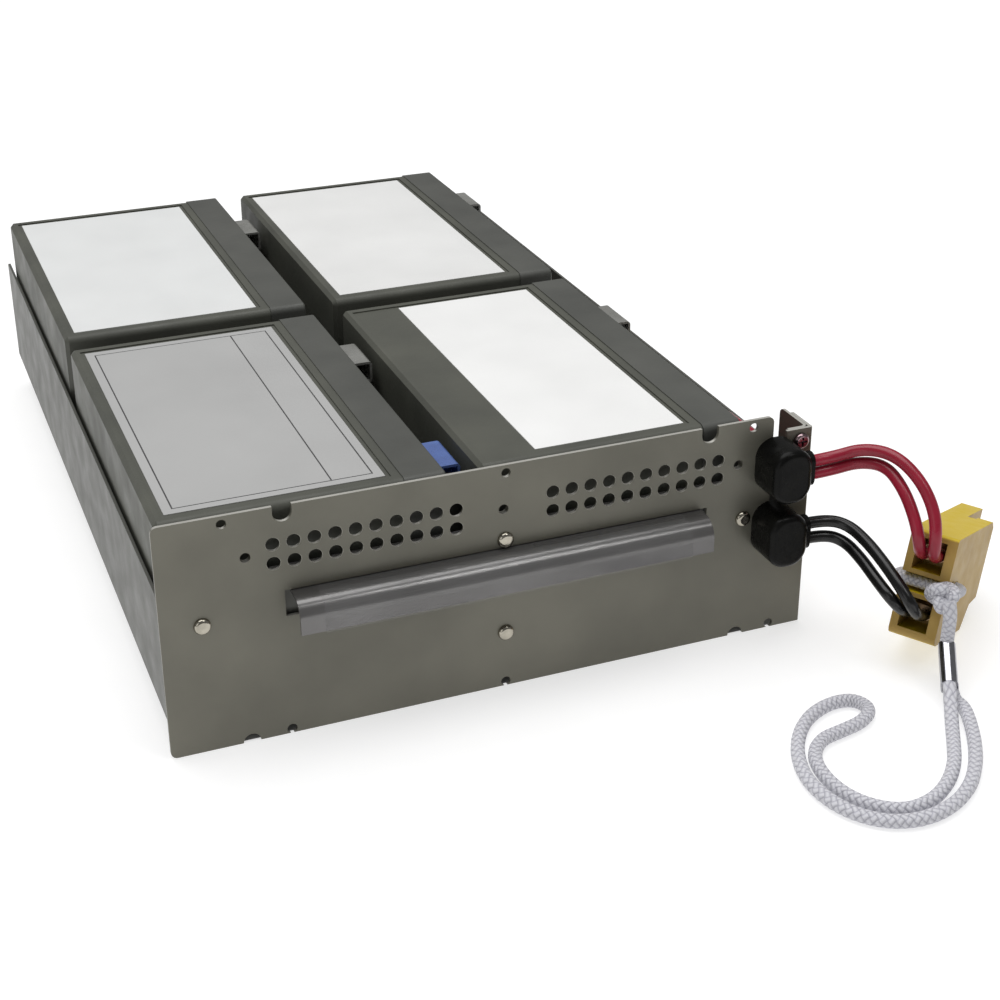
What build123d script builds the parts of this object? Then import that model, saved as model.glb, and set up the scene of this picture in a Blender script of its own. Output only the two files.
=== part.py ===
from build123d import *
import math
import os

# A slide-in battery cartridge for an uninterruptible power supply: four sealed 12 V blocks lie on
# their big sides in a folded tray, behind a sheet panel with a pull handle. Four cables leave the
# panel through two rubber boots and end in a two-pole connector that carries a cord lanyard.
#
# The pieces are drawn with X to the right from the panel's left edge, Y back from its front face
# and Z up from its bottom edge. save() moves them to the part's origin, which is the middle of
# the cartridge's box at its lowest level. All sizes are in millimetres.

# Standard block, lying on its big side: length along Y, height along X, thickness along Z.
BLOCK_LENGTH = 151.0
BLOCK_HEIGHT = 94.0
BLOCK_THICKNESS = 65.0
LID_DEPTH = 14.0
LID_PROUD = 0.4
CASE_CORNER = 2.5
CASE_BASE_CHAMFER = 1.4

# Room round the blocks.
SIDE_GAP = 1.0
CENTRE_GAP = 11.5
ROW_GAP = 9.7
FRONT_GAP = 1.1
BACK_GAP = 9.0
CABLE_CHANNEL = 24.5
PAD_THICKNESS = 3.2
PAD_MARGIN = 8.0

# Sheets.
PANEL_SHEET = 1.2
HANDLE_SHEET = 1.0
TRAY_SHEET = 1.0
BRACKET_SHEET = 1.0
BEND = 1.6
FIT = 0.05

# Tray and panel.
PANEL_DROP = 12.2
PANEL_OVER = 1.2
WALL_HEIGHT = 46.7
FRONT_WALL_LEFT = 6.0
CORNER_RELIEF = 3.0

LEFT_COLUMN_X = TRAY_SHEET + SIDE_GAP
RIGHT_COLUMN_X = LEFT_COLUMN_X + BLOCK_HEIGHT + CENTRE_GAP
CHANNEL_LEFT = RIGHT_COLUMN_X + BLOCK_HEIGHT
PANEL_WIDTH = CHANNEL_LEFT + CABLE_CHANNEL + TRAY_SHEET
FLOOR_TOP = PANEL_DROP + TRAY_SHEET
BLOCK_BOTTOM = FLOOR_TOP + PAD_THICKNESS
BLOCK_TOP = BLOCK_BOTTOM + BLOCK_THICKNESS
PANEL_HEIGHT = BLOCK_TOP + PANEL_OVER
WALL_TOP = PANEL_DROP + WALL_HEIGHT
HANDLE_PLATE_Y = PANEL_SHEET
FRONT_WALL_Y = HANDLE_PLATE_Y + HANDLE_SHEET
FRONT_ROW_Y = FRONT_WALL_Y + TRAY_SHEET + FRONT_GAP
BACK_ROW_Y = FRONT_ROW_Y + BLOCK_LENGTH + ROW_GAP
TRAY_BACK_Y = BACK_ROW_Y + BLOCK_LENGTH + BACK_GAP + TRAY_SHEET

# Tab and cable slot at the panel's right end.
TAB_WIDTH = 10.0
TAB_BELOW_TOP = 6.4
CABLE_SLOT_WIDTH = 5.3
CABLE_SLOT_BOTTOM = 33.0
FLANGE_DEPTH = 13.0
FLANGE_ABOVE_WALL = 1.0
PANEL_CORNER = 2.2
TAB_LEFT = PANEL_WIDTH - TAB_WIDTH
TAB_TOP = PANEL_HEIGHT - TAB_BELOW_TOP
SLOT_LEFT = TAB_LEFT - CABLE_SLOT_WIDTH
CABLE_X = (SLOT_LEFT + TAB_LEFT) / 2
FRONT_WALL_RIGHT = SLOT_LEFT - 3.7

# Corner bracket behind the tab, and its screw.
BRACKET_DEPTH = 18.4
BRACKET_BOTTOM = 30.0
BRACKET_LEG = 7.6
SCREW_X = PANEL_WIDTH - 4.6
SCREW_Z = TAB_TOP - 4.3
SCREW_RADIUS = 1.5
SCREW_HEAD_RADIUS = 2.8
SCREW_HEAD_HEIGHT = 1.7
SCREW_LENGTH = 6.0
SCREW_RECESS_LENGTH = 3.4
SCREW_RECESS_WIDTH = 0.8

# Holes in the panel.
HOLE_MIDDLE_X = PANEL_WIDTH / 2 + 0.6
VENT_RADIUS = 2.4
VENT_PITCH = 6.7
VENT_COLUMNS = 10
VENT_ROWS = 2
VENT_GROUP_OFFSET = 46.9
VENT_BELOW_TOP = 16.2
THREADED_RADIUS = 1.7
THREADED_SPACING = 85.3
THREADED_BELOW_TOP = 15.7
THREADED_RIM = 0.9
THREADED_RIM_DEPTH = 0.9
TOP_HOLE_RADIUS = 1.6
TOP_HOLE_BELOW_TOP = 2.8
TOP_HOLES_X = (21.6, HOLE_MIDDLE_X + 0.3, PANEL_WIDTH - 23.0)
NOTCH_RADIUS = 3.1
NOTCH_BELOW_TOP = 2.4
NOTCHES_X = (40.6, PANEL_WIDTH - 39.4)
FOOT_NOTCH_RADIUS = 2.9
FOOT_NOTCHES_X = (26.4, PANEL_WIDTH - 25.8)
FOOT_HOLE_RADIUS = 1.7
FOOT_HOLES_X = (39.7, HOLE_MIDDLE_X, PANEL_WIDTH - 12.6)
FOOT_HOLE_ABOVE_BOTTOM = 1.6

# Rivets through panel, handle plate and the tray's front wall.
RIVET_RADIUS = 1.6
RIVET_HEAD_RADIUS = 2.8
RIVET_HEAD_HEIGHT = 1.5
RIVET_TAIL_RADIUS = 2.3
RIVET_TAIL_HEIGHT = 0.7
RIVETS = ((13.3, 46.0), (HOLE_MIDDLE_X, 55.7), (HOLE_MIDDLE_X, 20.8), (PANEL_WIDTH - 25.4, 46.0))

# Pull handle: a tongue lanced from a plate behind the panel comes out of a window, curls down.
HANDLE_WIDTH = 143.5
HANDLE_LEFT = HOLE_MIDDLE_X - 0.35 - HANDLE_WIDTH / 2
HANDLE_TOP = 52.5
HANDLE_BOTTOM = 41.5
HANDLE_REACH = 10.0
HANDLE_CURL = 6.0
HANDLE_NECK_BEND = 0.8
HANDLE_PLATE_MARGIN = 6.0
HANDLE_PLATE_BOTTOM = 15.0
HANDLE_PLATE_TOP = 61.0
LANCE_HEIGHT = 18.0
WINDOW_SIDE = 2.0
WINDOW_HEIGHT = 9.4
WINDOW_CLEARANCE = 0.4
FILM_THICKNESS = 0.25
FILM_SIDE = 8.0
FILM_OVERHANG = 0.6

# Labels stuck on the blocks' upper sides.
LABEL_THICKNESS = 0.25
LABEL_RECESS = 0.5
LABEL_MARGIN_BASE = 4.5
LABEL_MARGIN_SEAM = 4.5
LABEL_MARGIN_END = 6.5
RECESS_BORDER = 1.5
NARROW_LABEL_WIDTH = 54.0

# Lid: a covered channel for the cells' valves, and two tabs at opposite corners.
COVER_LENGTH = 92.0
COVER_WIDTH = 30.0
COVER_THICKNESS = 1.6
COVER_CLEARANCE = 0.2
COVER_SLOT_LENGTH = 5.0
COVER_SLOT_WIDTH = 1.2
COVER_SLOT_SPACING = 16.0
TERMINAL_FRONT = 17.5
TERMINAL_BACK = 33.0
TERMINAL_EDGE = 8.0
TAB_BLADE_WIDTH = 6.35
TAB_BLADE_THICKNESS = 0.8
TAB_BLADE_HEIGHT = 7.4
TAB_FOOT_RADIUS = 4.2
TAB_FOOT_HEIGHT = 1.0
WELL_RADIUS = 5.6
WELL_DEPTH = 2.0

# Push-on sleeves over the tabs, thin-walled and open at one end.
SLEEVE_LENGTH = 19.0
SLEEVE_WIDTH = 8.6
SLEEVE_HEIGHT = 8.4
SLEEVE_WALL = 0.9
SLEEVE_STAND_OFF = 0.3
SLEEVE_SLOT_CLEARANCE = 0.3
SLEEVE_SHIFT = 4.0
SLEEVE_CORNER = 1.5

# Cables and boots.
CABLE_RADIUS = 2.1
BOOT_WIDTH = 14.6
BOOT_HEIGHT = 19.6
BOOT_DEPTH = 14.0
BOOT_CORNER = 6.6
BOOT_EDGE = 2.4
BOOT_X = CABLE_X - 1.75
UPPER_BOOT_Z = 65.2
LOWER_BOOT_Z = 41.0
RED_PITCH = 4.8
BLACK_PITCH = 5.8
CABLE_Y = -8.0
OUTLET_X = CABLE_X + 7.65
OUTLET_WIDTH = 6.6
OUTLET_HEIGHT = 12.4

# Two-pole connector: local X runs from the wire end to the mating end, local Z from the lower
# pole to the upper one. It stands on its narrow side, nose down.
CONNECTOR_PLACE = (OUTLET_X + 27.9, -39.0, 29.2)
CONNECTOR_YAW = 37.3
CONNECTOR_PITCH = 16.25
CONNECTOR_ROLL = 2.9
SHELL_LENGTH = 60.5
NEAR_LENGTH = 45.5
SHELL_HEIGHT = 38.2
SHELL_THICKNESS = 16.3
NEAR_WALL = 3.5
FAR_WALL = 2.7
STEP_X = 37.4
STEP_Z = -10.0
FOOT_X = 32.4
POCKET_DEPTH = 13.0
POCKET_HEIGHT = 11.3
UPPER_POCKET_Z = 11.0
LOWER_POCKET_Z = -9.8
WIRE_PITCH = 4.6
CAVITY_START = 24.0
CAVITY_MARGIN = 3.6
KEY_SLOT_WIDTH = 3.0
KEY_SLOT_START = 40.5
LONG_SIDE_START = 0.3
NOSE_CHAMFER = 2.4
BARREL_LENGTH = 7.5
BARREL_THICKNESS = 5.4
BLADE_END = 35.5
BLADE_HEIGHT = 8.0
BLADE_THICKNESS = 2.0
VALLEY_DEPTH = 5.5
VALLEY_WIDTH = 6.4
TIE_HOLE_X = 10.2
TIE_RADIUS = 2.1
TIE_CLEARANCE = 0.3
TIE_GAP = 0.2
TIE_BEND = 2.3
TIE_Z = 0.6
KNOT_RADIUS = 5.6
KNOT_PLACE = (-4.0, -7.7, 0.1)

# Lanyard: a braided cord, doubled through a pressed sleeve.
CORD_RADIUS = 2.25
STRAND_PITCH = 4.6
NECK_RADIUS = 3.3
NECK_TOP = (OUTLET_X + 29.1, -50.0, 28.5)
NECK_END = 3.0
CRIMP_TOP = (OUTLET_X + 29.8, -52.8, 13.0)
CRIMP_FOOT = (OUTLET_X + 23.9, -64.2, 5.6)
CRIMP_TWIST = 10.0
CRIMP_WALL = 0.5
CRIMP_CLEARANCE = 0.15

# Wires between the blocks, held inside the cartridge.
LEAD_BEND = 7.0
LEAD_Z = FLOOR_TOP + CABLE_RADIUS + FIT
LEAD_WALL_GAP = 0.9
LANE_OFFSET = 2.5

# The box's middle, which save() puts at X = Y = 0.
ORIGIN_X = PANEL_WIDTH / 2
ORIGIN_Y = (TRAY_BACK_Y - BOOT_DEPTH) / 2


def save(shape, name):
    """Write one sub-part in the part's own frame."""
    export_step(Pos(-ORIGIN_X, -ORIGIN_Y, 0) * shape, f"parts/{name}.step")


def block(x0, x1, y0, y1, z0, z1):
    """A box between two corners."""
    return Pos((x0 + x1) / 2, (y0 + y1) / 2, (z0 + z1) / 2) * Box(x1 - x0, y1 - y0, z1 - z0)


def rod_y(x, z, radius, y0, y1):
    """A round rod along Y."""
    return Pos(x, (y0 + y1) / 2, z) * Rot(90, 0, 0) * Cylinder(radius, y1 - y0)


def strip(points, radii, sheet, x0, x1):
    """A folded sheet: its middle line in the YZ plane, extruded from x0 to x1."""
    line = FilletPolyline(*points, radius=radii)
    return extrude(Plane.YZ.offset(x0) * trace(line, line_width=sheet), amount=x1 - x0)


def tube(points, radius, name):
    """A cord of straight runs and tangent arcs, each arc as large as its runs allow, beside the outlets."""
    corners = [Vector(OUTLET_X + x, y, z) for x, y, z in points]
    radii = []
    for before, corner, after in zip(corners, corners[1:], corners[2:]):
        turn = (corner - before).get_angle(after - corner)
        shorter = min((corner - before).length, (after - corner).length)
        radii.append(0.45 * shorter / math.tan(math.radians(turn) / 2))
    path = FilletPolyline(*corners, radius=radii)
    start = Plane(origin=path @ 0, z_dir=path % 0)
    cord = sweep(start * Circle(radius), path=path)
    share = cord.volume / (math.pi * radius**2 * path.length)
    print(name, "length", round(path.length, 1), "volume share", round(share, 4),
          "radii", [round(r, 1) for r in radii])
    return cord


# Panel and tray
def rivet_holes(y0, y1):
    """Clearance holes for the four rivets."""
    return [rod_y(x, z, RIVET_RADIUS + FIT, y0, y1) for x, z in RIVETS]


def vent_places():
    """Centres of the round vents, two groups of rows and columns."""
    places = []
    for side in (-1, 1):
        for column in range(VENT_COLUMNS):
            for row in range(VENT_ROWS):
                x = HOLE_MIDDLE_X + side * VENT_GROUP_OFFSET + (column - (VENT_COLUMNS - 1) / 2) * VENT_PITCH
                z = PANEL_HEIGHT - VENT_BELOW_TOP + (row - (VENT_ROWS - 1) / 2) * VENT_PITCH
                places.append((x, z))
    return places


def front_panel():
    """The sheet panel with its tab, return flange, vents, notches and handle window."""
    outline = Polyline(
        (0, 0),
        (PANEL_WIDTH, 0),
        (PANEL_WIDTH, TAB_TOP),
        (TAB_LEFT, TAB_TOP),
        (TAB_LEFT, CABLE_SLOT_BOTTOM),
        (SLOT_LEFT, CABLE_SLOT_BOTTOM),
        (SLOT_LEFT, PANEL_HEIGHT),
        (0, PANEL_HEIGHT),
        close=True,
    )
    face = make_face(outline)
    for corner in ((0, 0), (SLOT_LEFT, PANEL_HEIGHT), (0, PANEL_HEIGHT)):
        face = fillet(face.vertices().sort_by_distance((*corner, 0))[0], PANEL_CORNER)
    holes = Sketch() + [Pos(x, z) * Circle(VENT_RADIUS) for x, z in vent_places()]
    holes += [Pos(x, z) * Circle(RIVET_RADIUS + FIT) for x, z in RIVETS]
    holes += [Pos(x, PANEL_HEIGHT - TOP_HOLE_BELOW_TOP) * Circle(TOP_HOLE_RADIUS) for x in TOP_HOLES_X]
    holes += [Pos(x, 0) * Circle(FOOT_NOTCH_RADIUS) for x in FOOT_NOTCHES_X]
    holes += [Pos(x, FOOT_HOLE_ABOVE_BOTTOM) * Circle(FOOT_HOLE_RADIUS) for x in FOOT_HOLES_X]
    for x in NOTCHES_X:
        holes += Pos(x, PANEL_HEIGHT - NOTCH_BELOW_TOP) * Circle(NOTCH_RADIUS)
        holes += Pos(x, PANEL_HEIGHT) * Rectangle(2 * NOTCH_RADIUS, 2 * NOTCH_BELOW_TOP)
    for x in threaded_places():
        holes += Pos(x, PANEL_HEIGHT - THREADED_BELOW_TOP) * Circle(THREADED_RADIUS)
    holes += Pos(SCREW_X, SCREW_Z) * Circle(SCREW_RADIUS + FIT)
    window_top = HANDLE_TOP + WINDOW_CLEARANCE
    window = Rectangle(HANDLE_WIDTH + 2 * WINDOW_SIDE, WINDOW_HEIGHT)
    holes += Pos(HANDLE_LEFT + HANDLE_WIDTH / 2, window_top - WINDOW_HEIGHT / 2) * window
    panel = extrude(Plane.XZ.offset(-PANEL_SHEET) * (face - holes), amount=PANEL_SHEET)
    # Rolled rims of the threaded holes stand behind the sheet.
    for x in threaded_places():
        z = PANEL_HEIGHT - THREADED_BELOW_TOP
        rim_back = PANEL_SHEET + THREADED_RIM_DEPTH
        rim = rod_y(x, z, THREADED_RADIUS + THREADED_RIM, PANEL_SHEET, rim_back)
        panel += rim - rod_y(x, z, THREADED_RADIUS, PANEL_SHEET, rim_back)
    # The return flange along the tab's outer edge stops above the tray's side wall.
    flange_bottom = WALL_TOP + FLANGE_ABOVE_WALL
    panel += block(PANEL_WIDTH - PANEL_SHEET, PANEL_WIDTH, 0, FLANGE_DEPTH, flange_bottom, TAB_TOP)
    outer_bend = panel.edges().filter_by(Axis.Z).filter_by_position(Axis.X, PANEL_WIDTH - FIT, PANEL_WIDTH)
    outer_bend = outer_bend.filter_by_position(Axis.Y, -FIT, FIT)
    return fillet(outer_bend, PANEL_SHEET * 0.6)


def threaded_places():
    """The three threaded holes lie in one line, evenly spaced about the panel's middle."""
    return [PANEL_WIDTH / 2 + step * THREADED_SPACING for step in (-1, 0, 1)]


def corner_bracket():
    """An angle of sheet in the corner behind the tab."""
    right = PANEL_WIDTH - PANEL_SHEET
    left = right - BRACKET_LEG
    front = PANEL_SHEET
    top = TAB_TOP - FIT
    middle = BRACKET_SHEET / 2
    line = FilletPolyline(
        (left, front + middle), (right - middle, front + middle), (right - middle, BRACKET_DEPTH), radius=BEND
    )
    angle = extrude(Pos(0, 0, BRACKET_BOTTOM) * trace(line, line_width=BRACKET_SHEET), amount=top - BRACKET_BOTTOM)
    far_corner = angle.edges().filter_by(Axis.X).sort_by_distance((right, BRACKET_DEPTH, top))[0]
    angle = fillet(far_corner, PANEL_CORNER)
    return angle - rod_y(SCREW_X, SCREW_Z, SCREW_RADIUS + FIT, 0, BRACKET_DEPTH / 2)


def bracket_screw():
    """A pan-head screw through tab and bracket."""
    head = rod_y(SCREW_X, SCREW_Z, SCREW_HEAD_RADIUS, -SCREW_HEAD_HEIGHT, 0)
    head = fillet(head.edges().sort_by(Axis.Y)[0], SCREW_HEAD_HEIGHT * 0.6)
    bar = Pos(0, -SCREW_HEAD_HEIGHT, 0) * Box(SCREW_RECESS_LENGTH, SCREW_HEAD_HEIGHT, SCREW_RECESS_WIDTH)
    recess = Pos(SCREW_X, 0, SCREW_Z) * (bar + Rot(0, 90, 0) * bar)
    return head - recess + rod_y(SCREW_X, SCREW_Z, SCREW_RADIUS, 0, SCREW_LENGTH)


def panel_rivets():
    """Domed rivets that hold panel, handle plate and tray together."""
    tail_y = FRONT_WALL_Y + TRAY_SHEET
    group = []
    for x, z in RIVETS:
        head = rod_y(x, z, RIVET_HEAD_RADIUS, -RIVET_HEAD_HEIGHT, 0)
        head = fillet(head.edges().sort_by(Axis.Y)[0], RIVET_HEAD_HEIGHT * 0.9)
        shank = rod_y(x, z, RIVET_RADIUS, 0, tail_y)
        group.append(head + shank + rod_y(x, z, RIVET_TAIL_RADIUS, tail_y, tail_y + RIVET_TAIL_HEIGHT))
    return Compound(group)


def tray():
    """One folded sheet: floor and four walls, open at the corners."""
    middle = TRAY_SHEET / 2
    low = PANEL_DROP + middle
    right = PANEL_WIDTH - middle
    line = FilletPolyline((middle, WALL_TOP), (middle, low), (right, low), (right, WALL_TOP), radius=BEND)
    front = PANEL_SHEET + FIT
    sheet = extrude(Plane.XZ.offset(-front) * trace(line, line_width=TRAY_SHEET), amount=front - TRAY_BACK_Y)
    ends = sheet.edges().filter_by(Axis.X).sort_by(Axis.Z)[-4:]
    sheet = fillet(ends, PANEL_CORNER)
    # The front and back walls are narrower than the floor, and folded up from it.
    floor_front = FRONT_WALL_Y + middle
    floor_back = TRAY_BACK_Y - middle
    sheet -= block(TRAY_SHEET, PANEL_WIDTH - TRAY_SHEET, 0, FRONT_WALL_Y + BEND, PANEL_DROP, FLOOR_TOP)
    sheet -= block(TRAY_SHEET, PANEL_WIDTH - TRAY_SHEET, TRAY_BACK_Y - BEND, TRAY_BACK_Y, PANEL_DROP, FLOOR_TOP)
    inner = FRONT_WALL_Y + 2 * BEND
    points = ((floor_front, WALL_TOP), (floor_front, low), (inner, low))
    sheet += strip(points, BEND, TRAY_SHEET, FRONT_WALL_LEFT, FRONT_WALL_RIGHT)
    inner = TRAY_BACK_Y - 2 * BEND
    back_left = TRAY_SHEET + CORNER_RELIEF
    back_right = PANEL_WIDTH - TRAY_SHEET - CORNER_RELIEF
    points = ((floor_back, WALL_TOP), (floor_back, low), (inner, low))
    sheet += strip(points, BEND, TRAY_SHEET, back_left, back_right)
    return sheet - rivet_holes(FRONT_WALL_Y - FIT, FRONT_WALL_Y + 2 * TRAY_SHEET)


def pull_handle():
    """A plate behind the panel, with a tongue lanced and curled forward through the window."""
    middle = HANDLE_SHEET / 2
    back_y = HANDLE_PLATE_Y + middle
    right = FRONT_WALL_RIGHT
    plate = block(HANDLE_PLATE_MARGIN, right, HANDLE_PLATE_Y, FRONT_WALL_Y, HANDLE_PLATE_BOTTOM, HANDLE_PLATE_TOP)
    tongue_right = HANDLE_LEFT + HANDLE_WIDTH
    lance_top = HANDLE_TOP + HANDLE_NECK_BEND
    plate -= block(
        HANDLE_LEFT - WINDOW_SIDE, tongue_right + WINDOW_SIDE, 0, FRONT_WALL_Y + 1, lance_top - LANCE_HEIGHT, lance_top
    )
    neck_z = HANDLE_TOP - middle
    front_y = -HANDLE_REACH + middle
    points = ((back_y, lance_top), (back_y, neck_z), (front_y, neck_z), (front_y, HANDLE_BOTTOM))
    radii = [HANDLE_NECK_BEND, HANDLE_CURL]
    plate += strip(points, radii, HANDLE_SHEET, HANDLE_LEFT, tongue_right)
    return plate - rivet_holes(0, FRONT_WALL_Y + 1)


def handle_film():
    """A clear film laid over the curl, a little longer than the tongue's flap."""
    gap = HANDLE_SHEET / 2 + FILM_THICKNESS / 2
    top = HANDLE_TOP + FILM_THICKNESS / 2
    front = -HANDLE_REACH - FILM_THICKNESS / 2
    points = ((-0.5, top), (front, top), (front, HANDLE_BOTTOM - FILM_OVERHANG))
    left = HANDLE_LEFT + FILM_SIDE
    return strip(points, HANDLE_CURL + gap, FILM_THICKNESS, left, HANDLE_LEFT + HANDLE_WIDTH - FILM_SIDE)


# Batteries
def battery_case(x0, y0):
    """The jar: five closed sides, its open end under the lid, a shallow field for the label."""
    seam = x0 + BLOCK_HEIGHT - LID_DEPTH
    inset = LID_PROUD
    jar = block(x0, seam, y0 + inset, y0 + BLOCK_LENGTH - inset, BLOCK_BOTTOM, BLOCK_TOP - inset)
    jar = fillet(jar.edges().filter_by(Axis.X), CASE_CORNER)
    jar = chamfer(jar.faces().sort_by(Axis.X)[0].edges(), CASE_BASE_CHAMFER)
    field_left = x0 + LABEL_MARGIN_BASE - RECESS_BORDER
    field_right = seam - LABEL_MARGIN_SEAM + RECESS_BORDER
    field_front = y0 + LABEL_MARGIN_END - RECESS_BORDER
    field_back = y0 + BLOCK_LENGTH - LABEL_MARGIN_END + RECESS_BORDER
    top = BLOCK_TOP - inset
    return jar - block(field_left, field_right, field_front, field_back, top - LABEL_RECESS, top)


def terminal_places(x0, y0, blue):
    """Where the two tabs stand on the lid: one near each end, at opposite long edges."""
    upper = BLOCK_TOP - TERMINAL_EDGE
    lower = BLOCK_BOTTOM + TERMINAL_EDGE
    front_z = upper if blue else lower
    return ((y0 + TERMINAL_FRONT, front_z), (y0 + BLOCK_LENGTH - TERMINAL_BACK, upper))


def rod_x(x0, x1, y, z, radius):
    """A round rod along X."""
    return Pos((x0 + x1) / 2, y, z) * Rot(0, 90, 0) * Cylinder(radius, x1 - x0)


def battery_lid(x0, y0, blue):
    """The lid, slightly proud of the jar, with a channel for the cover and a well for each tab."""
    seam = x0 + BLOCK_HEIGHT - LID_DEPTH
    face = x0 + BLOCK_HEIGHT
    lid = block(seam, face, y0, y0 + BLOCK_LENGTH, BLOCK_BOTTOM, BLOCK_TOP)
    lid = fillet(lid.edges().filter_by(Axis.X), CASE_CORNER)
    lid = fillet(lid.faces().sort_by(Axis.X)[-1].edges(), 0.8)
    lid -= cover_block(x0, y0, 0)
    for y, z in terminal_places(x0, y0, blue):
        lid -= rod_x(face - WELL_DEPTH, face, y, z, WELL_RADIUS)
    return lid


def cover_block(x0, y0, clearance):
    """The valve cover's own plain form, or its channel where clearance is nothing."""
    face = x0 + BLOCK_HEIGHT
    y = y0 + BLOCK_LENGTH / 2
    z = (BLOCK_BOTTOM + BLOCK_TOP) / 2
    half_length = COVER_LENGTH / 2 - clearance
    half_width = COVER_WIDTH / 2 - clearance
    body = block(face - COVER_THICKNESS, face, y - half_length, y + half_length, z - half_width, z + half_width)
    return fillet(body.edges().filter_by(Axis.X), CASE_CORNER)


def valve_cover(x0, y0):
    """The plate over the valves, with a prying slot at each cell."""
    cover = cover_block(x0, y0, COVER_CLEARANCE)
    face = x0 + BLOCK_HEIGHT
    z = (BLOCK_BOTTOM + BLOCK_TOP) / 2
    for step in (-2, -1, 0, 1, 2):
        y = y0 + BLOCK_LENGTH / 2 + step * COVER_SLOT_SPACING
        half = COVER_SLOT_LENGTH / 2
        wide = COVER_SLOT_WIDTH / 2
        cover -= block(face - COVER_SLOT_WIDTH, face, y - half, y + half, z - wide, z + wide)
    return cover


def terminal_tabs(x0, y0, blue):
    """Two push-on blades, each on a round foot in its well."""
    face = x0 + BLOCK_HEIGHT
    foot = face - WELL_DEPTH
    group = []
    for y, z in terminal_places(x0, y0, blue):
        base = rod_x(foot, foot + TAB_FOOT_HEIGHT, y, z, TAB_FOOT_RADIUS)
        half = TAB_BLADE_WIDTH / 2
        thick = TAB_BLADE_THICKNESS / 2
        blade = block(foot, face + TAB_BLADE_HEIGHT, y - half, y + half, z - thick, z + thick)
        tip = blade.faces().sort_by(Axis.X)[-1].edges().filter_by(Axis.Z)
        group.append(base + chamfer(tip, 1.2))
    return Compound(group)


def terminal_sleeve(x0, y, z):
    """A flag sleeve: a thin-walled box with one open end, slotted for the blade."""
    face = x0 + BLOCK_HEIGHT + SLEEVE_STAND_OFF
    middle = sleeve_middle(y)
    half = SLEEVE_LENGTH / 2
    low = z - SLEEVE_HEIGHT / 2
    body = block(face, face + SLEEVE_WIDTH, middle - half, middle + half, low, low + SLEEVE_HEIGHT)
    body = fillet(body.edges().filter_by(Axis.Y), SLEEVE_CORNER)
    wall = SLEEVE_WALL
    body -= block(
        face + wall, face + SLEEVE_WIDTH - wall, middle - half, middle + half - wall, low + wall,
        low + SLEEVE_HEIGHT - wall,
    )
    blade = TAB_BLADE_WIDTH / 2 + SLEEVE_SLOT_CLEARANCE
    thick = TAB_BLADE_THICKNESS / 2 + SLEEVE_SLOT_CLEARANCE
    return body - block(face, face + wall, y - blade, y + blade, z - thick, z + thick)


def sleeve_middle(y):
    """A sleeve reaches further to one side of its blade: towards the middle of the block."""
    front = (y - FRONT_ROW_Y) % (BLOCK_LENGTH + ROW_GAP) < BLOCK_LENGTH / 2
    return y + SLEEVE_SHIFT if front else y - SLEEVE_SHIFT


def label(x0, y0, left_margin):
    """A printed sheet in the jar's field."""
    top = BLOCK_TOP - LID_PROUD - LABEL_RECESS
    seam = x0 + BLOCK_HEIGHT - LID_DEPTH
    right = seam - LABEL_MARGIN_SEAM
    back = y0 + BLOCK_LENGTH - LABEL_MARGIN_END
    return block(x0 + left_margin, right, y0 + LABEL_MARGIN_END, back, top, top + LABEL_THICKNESS)


def floor_pad(x0):
    """A strip of foam between the tray's floor and one column of blocks."""
    left = x0 + PAD_MARGIN
    right = x0 + BLOCK_HEIGHT - PAD_MARGIN
    front = FRONT_ROW_Y + PAD_MARGIN
    back = BACK_ROW_Y + BLOCK_LENGTH - PAD_MARGIN
    return block(left, right, front, back, FLOOR_TOP, BLOCK_BOTTOM)


# Cables
def boot(z):
    """A moulded right-angle boot: a blunt head on the panel and a short outlet to the right."""
    section = RectangleRounded(BOOT_WIDTH, BOOT_HEIGHT, BOOT_CORNER)
    head = extrude(Plane.XZ * Pos(BOOT_X, z) * section, amount=BOOT_DEPTH)
    head = fillet(head.faces().sort_by(Axis.Y)[0].edges(), BOOT_EDGE)
    outlet = RectangleRounded(OUTLET_WIDTH, OUTLET_HEIGHT, OUTLET_WIDTH / 2 - FIT)
    return head + extrude(Plane.YZ.offset(BOOT_X) * Pos(CABLE_Y, z) * outlet, amount=OUTLET_X - BOOT_X)


# Routes of the free cables, from the boot's outlet to the wire pockets of the connector. Their X
# counts from the outlet.
RED_OUTER = (
    (0.0, CABLE_Y, UPPER_BOOT_Z + RED_PITCH / 2), (8.5, CABLE_Y, UPPER_BOOT_Z + RED_PITCH / 2),
    (17.3, -13.0, 71.6), (23.2, -22.6, 72.4), (26.8, -33.0, 67.2), (28.0, -41.0, 58.8),
    (26.8, -44.8, 49.6), (28.76, -41.43, 40.77), (35.94, -35.96, 38.14),
)
RED_INNER = (
    (0.0, CABLE_Y, UPPER_BOOT_Z - RED_PITCH / 2), (8.0, CABLE_Y, UPPER_BOOT_Z - RED_PITCH / 2),
    (16.6, -11.6, 66.0), (22.2, -19.6, 67.2), (23.2, -29.4, 62.6), (23.2, -37.0, 55.4),
    (23.0, -41.0, 48.8), (26.79, -37.16, 40.72), (33.2, -32.27, 38.37),
)
BLACK_OUTER = (
    (0.0, CABLE_Y, LOWER_BOOT_Z + BLACK_PITCH / 2), (7.8, CABLE_Y, LOWER_BOOT_Z + BLACK_PITCH / 2),
    (13.9, -12.8, 43.0), (15.9, -22.5, 40.4), (16.9, -32.5, 36.5), (17.6, -41.0, 32.4),
    (18.8, -46.2, 28.0), (24.26, -43.54, 20.55), (30.67, -38.65, 18.2),
)
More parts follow.
